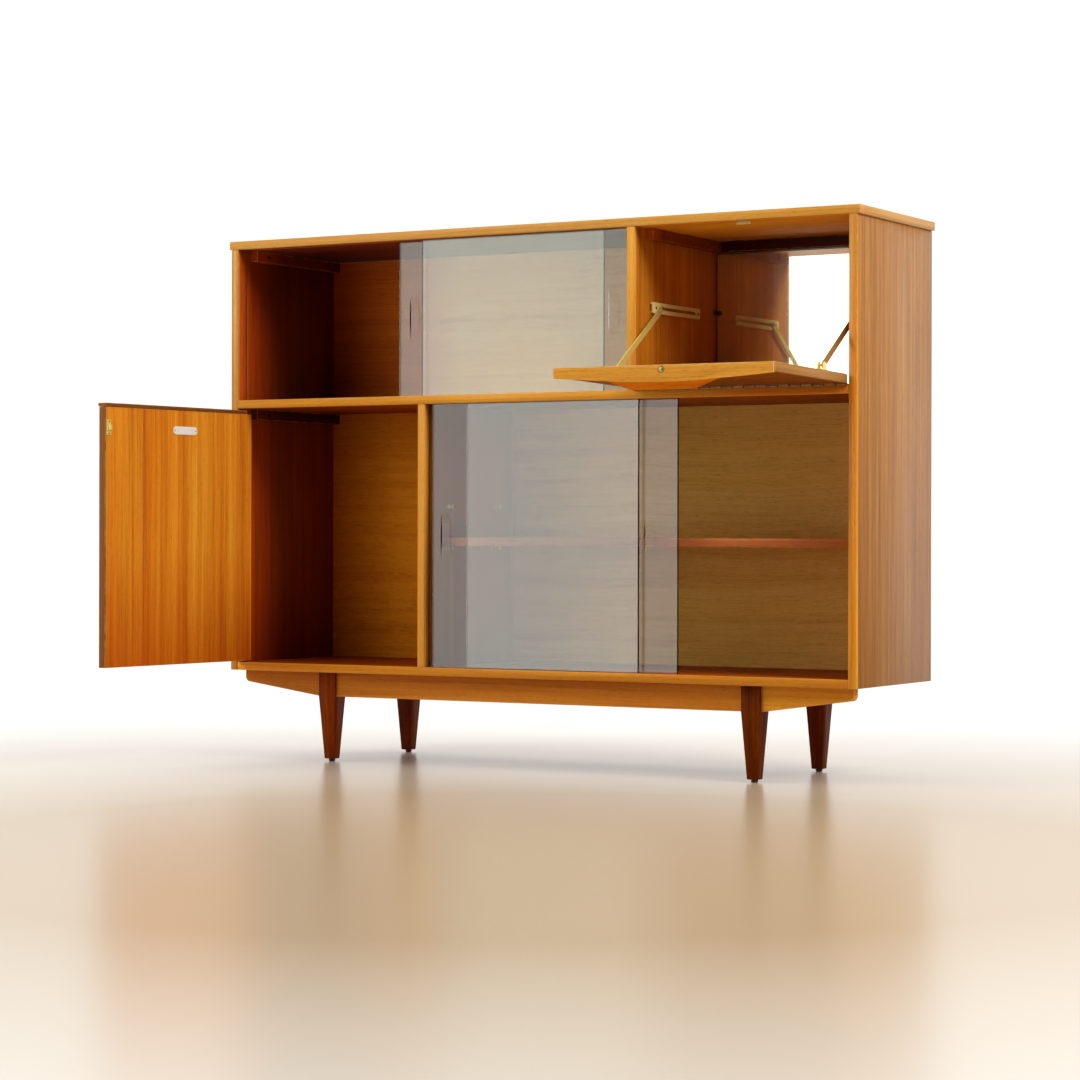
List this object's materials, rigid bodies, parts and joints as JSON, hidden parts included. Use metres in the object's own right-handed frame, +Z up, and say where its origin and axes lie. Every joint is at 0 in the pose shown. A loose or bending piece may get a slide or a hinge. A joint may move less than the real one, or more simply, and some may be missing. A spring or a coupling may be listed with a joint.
{
  "type": "china cabinet",
  "caption": "Low teak china cabinet on tapered legs, with sliding glass panes, a drop flap on slotted stays before a mirrored drinks compartment and a pivot-hung cupboard door.",
  "frame": {"origin": "on the floor, at the middle of the footprint of the whole part with its door and flap open", "axes": "+X to the cabinet's right as seen from its front, +Y from its front to its back, +Z up"},
  "size_m": [1.238, 0.6664, 0.9195],
  "materials": {
    "teak": "satin oiled teak veneer and teak lippings",
    "back_veneer": "dull thin veneered board",
    "dark_leg_wood": "dark stained satin wood",
    "brass": "aged satin brass",
    "steel": "drawn wire",
    "glass": "clear float glass with ground finger pulls",
    "silvered_glass": "silvered glass",
    "plate_metal": "bare worn plate",
    "ivory_plastic": "ivory moulded plastic",
    "black_rubber": "matt"
  },
  "bodies": {
    "case": {"top_panel": "teak", "left_side": "teak", "right_side": "teak", "bottom_panel": "teak", "middle_shelf": "teak", "upper_divider": "teak", "lower_divider": "teak", "back_panel": "back_veneer", "batten_top_left": "teak", "batten_top_divider": "teak", "batten_top_right": "teak", "batten_top_back": "teak", "batten_middle_left": "teak", "mirror": "silvered_glass", "mirror_peg_left": "black_rubber", "mirror_peg_right": "black_rubber", "front_rail": "teak", "rear_rail": "teak", "leg_front_left": "dark_leg_wood", "leg_front_right": "dark_leg_wood", "leg_rear_left": "dark_leg_wood", "leg_rear_right": "dark_leg_wood", "glide_front_left": "brass", "glide_front_right": "brass", "glide_rear_left": "brass", "glide_rear_right": "brass", "loose_shelf": "teak", "peg_left_front": "ivory_plastic", "peg_left_back": "ivory_plastic", "peg_left_front_spare": "ivory_plastic", "peg_left_back_spare": "ivory_plastic", "peg_right_front": "ivory_plastic", "peg_right_back": "ivory_plastic", "flap_hinge_fixed_leaf": "brass", "flap_hinge_pin": "steel", "flap_strike": "brass", "stay_channel_left": "brass", "stay_channel_right": "brass", "door_strike": "brass"},
    "flap": {"flap_panel": "teak", "flap_pull": "teak", "flap_ball_catch": "brass", "flap_hinge_moving_leaf": "brass", "stay_bracket_left": "brass", "stay_bracket_right": "brass"},
    "door": {"door_panel": "teak", "door_pull": "teak", "door_catch": "brass", "door_plate": "plate_metal", "door_pivot_lower": "brass", "door_pivot_upper": "brass"},
    "stay_arm_left": {"stay_arm_left": "brass"},
    "stay_arm_right": {"stay_arm_right": "brass"},
    "stay_slider_left": {"stay_slider_left": "brass"},
    "stay_slider_right": {"stay_slider_right": "brass"},
    "upper_rear_glass": {"upper_rear_glass": "glass"},
    "upper_front_glass": {"upper_front_glass": "glass"},
    "lower_front_glass": {"lower_front_glass": "glass"},
    "lower_rear_glass": {"lower_rear_glass": "glass"}
  },
  "joints": [
    {"name": "flap_hinge", "type": "hinge", "parent": "case", "child": "flap", "pos_m": [0.4087, 0.02454, 0.6367], "axis": [-1, 0, 0], "range_deg": [0, 88.8]},
    {"name": "stay_arm_left_pivot", "type": "hinge", "parent": "flap", "child": "stay_arm_left", "pos_m": [0.22535, -0.05122, 0.66329], "axis": [-1, 0, 0], "range_deg": [-72.6, 0]},
    {"name": "stay_slider_left_slide", "type": "slide", "parent": "case", "child": "stay_slider_left", "axis": [0, 1, 0], "range_m": [0, 0.1258]},
    {"name": "stay_arm_right_pivot", "type": "hinge", "parent": "flap", "child": "stay_arm_right", "pos_m": [0.59205, -0.05122, 0.66329], "axis": [-1, 0, 0], "range_deg": [-72.6, 0]},
    {"name": "stay_slider_right_slide", "type": "slide", "parent": "case", "child": "stay_slider_right", "axis": [0, 1, 0], "range_m": [0, 0.1258]},
    {"name": "door_pivot", "type": "hinge", "parent": "case", "child": "door", "pos_m": [-0.57245, 0.03389, 0.3975], "axis": [0, 0, -1], "range_deg": [-94.2, 3]},
    {"name": "upper_rear_glass_slide", "type": "slide", "parent": "case", "child": "upper_rear_glass", "axis": [1, 0, 0], "range_m": [-0.3308, 0.0544]},
    {"name": "upper_front_glass_slide", "type": "slide", "parent": "case", "child": "upper_front_glass", "axis": [1, 0, 0], "range_m": [-0.3788, 0.0064]},
    {"name": "lower_front_glass_slide", "type": "slide", "parent": "case", "child": "lower_front_glass", "axis": [1, 0, 0], "range_m": [-0.0068, 0.3815]},
    {"name": "lower_rear_glass_slide", "type": "slide", "parent": "case", "child": "lower_rear_glass", "axis": [1, 0, 0], "range_m": [-0.0705, 0.3178]}
  ],
  "couplings": [
    {"joint": "stay_arm_left_pivot", "follows": "flap_hinge", "ratio": -0.81683},
    {"joint": "stay_slider_left_slide", "follows": "flap_hinge", "m_per_rad": 0.08112},
    {"joint": "stay_arm_right_pivot", "follows": "flap_hinge", "ratio": -0.81683},
    {"joint": "stay_slider_right_slide", "follows": "flap_hinge", "m_per_rad": 0.08112}
  ]
}
